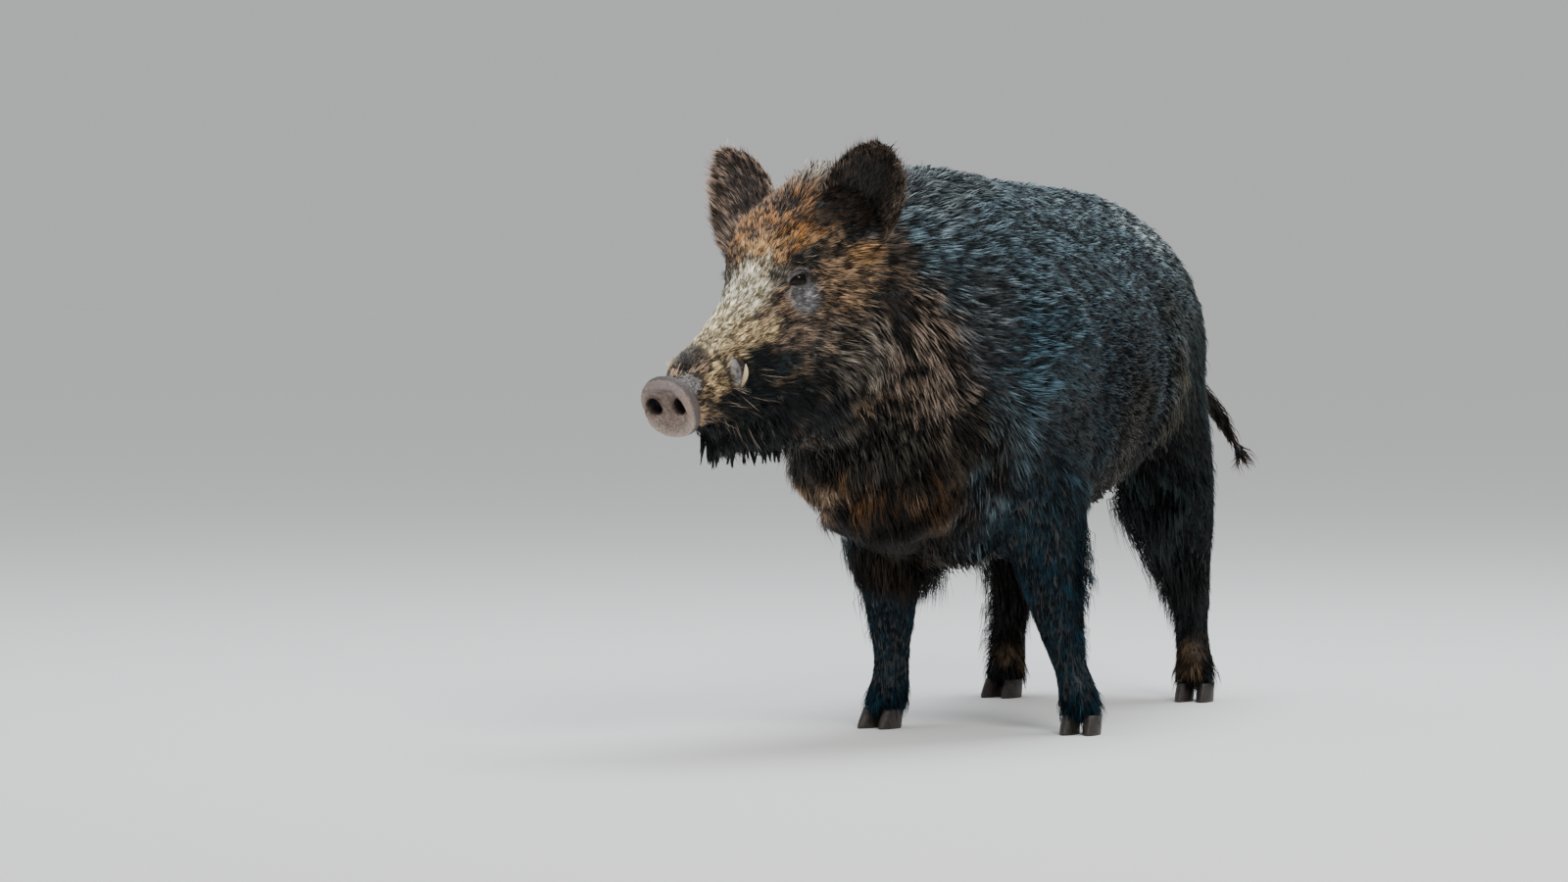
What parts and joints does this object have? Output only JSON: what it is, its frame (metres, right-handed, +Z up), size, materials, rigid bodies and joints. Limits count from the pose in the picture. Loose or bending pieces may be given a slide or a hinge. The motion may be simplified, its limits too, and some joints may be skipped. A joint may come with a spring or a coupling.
{
  "type": "wild boar",
  "caption": "Life-size still model of an adult wild boar standing square on its feet, long muzzle lowered and turned to its right, ears up, short tusks.",
  "frame": {"origin": "centre of the bounding box on the ground, under the soles of the claws", "axes": "+Z up, the animal faces -Y, its left side is +X"},
  "size_m": [0.5548, 1.576, 0.8803],
  "materials": {
    "coat": "slate-black bristle coat, paler at the tips",
    "coat_brown": "grizzled brown coat of the face and ruff",
    "snout_skin": "damp bare skin",
    "eye": "wet, dark brown",
    "tusk": "worn ivory",
    "claw": "dull dark horn"
  },
  "bodies": {
    "root": {"head": "coat_brown", "lower_jaw": "coat", "snout": "snout_skin", "ear_left": "coat_brown", "ear_right": "coat_brown", "eye_left": "eye", "eye_right": "eye", "tusk_left": "tusk", "tusk_right": "tusk", "neck": "coat_brown", "trunk": "coat", "tail": "coat", "foreleg_left": "coat", "foreleg_right": "coat", "hindleg_left": "coat", "hindleg_right": "coat", "claw_foreleg_left_outer": "claw", "dewclaw_foreleg_left_outer": "claw", "claw_foreleg_left_inner": "claw", "dewclaw_foreleg_left_inner": "claw", "claw_foreleg_right_outer": "claw", "dewclaw_foreleg_right_outer": "claw", "claw_foreleg_right_inner": "claw", "dewclaw_foreleg_right_inner": "claw", "claw_hindleg_left_outer": "claw", "dewclaw_hindleg_left_outer": "claw", "claw_hindleg_left_inner": "claw", "dewclaw_hindleg_left_inner": "claw", "claw_hindleg_right_outer": "claw", "dewclaw_hindleg_right_outer": "claw", "claw_hindleg_right_inner": "claw", "dewclaw_hindleg_right_inner": "claw"}
  },
  "joints": []
}
